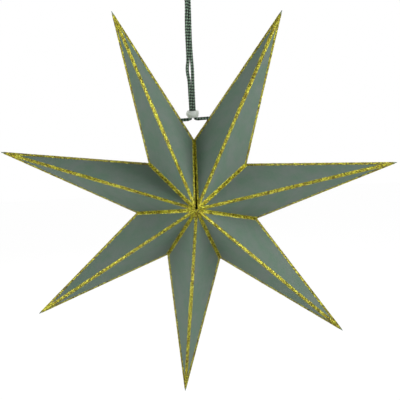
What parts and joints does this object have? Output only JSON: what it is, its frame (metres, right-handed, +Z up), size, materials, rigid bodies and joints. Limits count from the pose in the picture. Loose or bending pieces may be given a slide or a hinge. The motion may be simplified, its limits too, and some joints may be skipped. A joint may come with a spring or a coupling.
{
  "type": "folded paper star",
  "caption": "Hollow folded card star with tapered points and gold glitter on its folds, hung from a doubled cord with a bead.",
  "frame": {"origin": "top of the cord's loop, on its inside, where a hook carries the star", "axes": "+Z up along the cord, -Y the front of the star, +X to the right seen from the front"},
  "size_m": [0.2917, 0.08, 0.3363],
  "materials": {
    "green_card": "matte",
    "gold_glitter": "sparkling",
    "braided_cord": "braided",
    "clear_bead": "translucent"
  },
  "bodies": {
    "star": {"point_1": "green_card", "point_2": "green_card", "point_3": "green_card", "point_4": "green_card", "point_5": "green_card", "point_6": "green_card", "point_7": "green_card", "glitter_1": "gold_glitter", "glitter_2": "gold_glitter", "glitter_3": "gold_glitter", "glitter_4": "gold_glitter", "glitter_5": "gold_glitter", "glitter_6": "gold_glitter", "glitter_7": "gold_glitter", "hanging_cord": "braided_cord", "left_knot": "braided_cord", "right_knot": "braided_cord"},
    "bead": {"cord_bead": "clear_bead"}
  },
  "joints": [
    {"name": "bead_slide", "type": "slide", "parent": "star", "child": "bead", "axis": [0, 0, 1], "range_m": [0, 0.05]}
  ]
}
